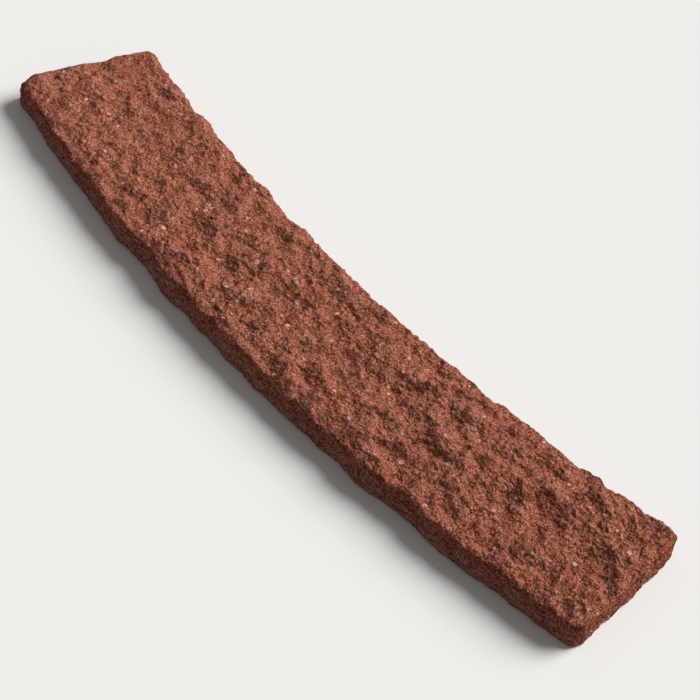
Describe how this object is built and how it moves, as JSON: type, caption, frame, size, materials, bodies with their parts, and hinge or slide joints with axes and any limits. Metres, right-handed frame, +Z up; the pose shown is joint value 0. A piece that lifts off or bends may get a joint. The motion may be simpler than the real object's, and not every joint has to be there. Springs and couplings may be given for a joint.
{
  "type": "curved concrete paving stone",
  "caption": "Curved concrete paving strip with a rough riven face, flat bed and square ends, laid end to end as a round border.",
  "frame": {"origin": "middle of the stone's box, on the plane of its bed", "axes": "+X along the chord from end to end, +Y from the convex edge towards the ring's centre, +Z up from the bed to the riven face"},
  "size_m": [0.8646, 0.188, 0.0345],
  "materials": {
    "concrete": "rough riven concrete, coloured terracotta brown through the mix"
  },
  "bodies": {
    "root": {"paving_stone": "concrete"}
  },
  "joints": []
}
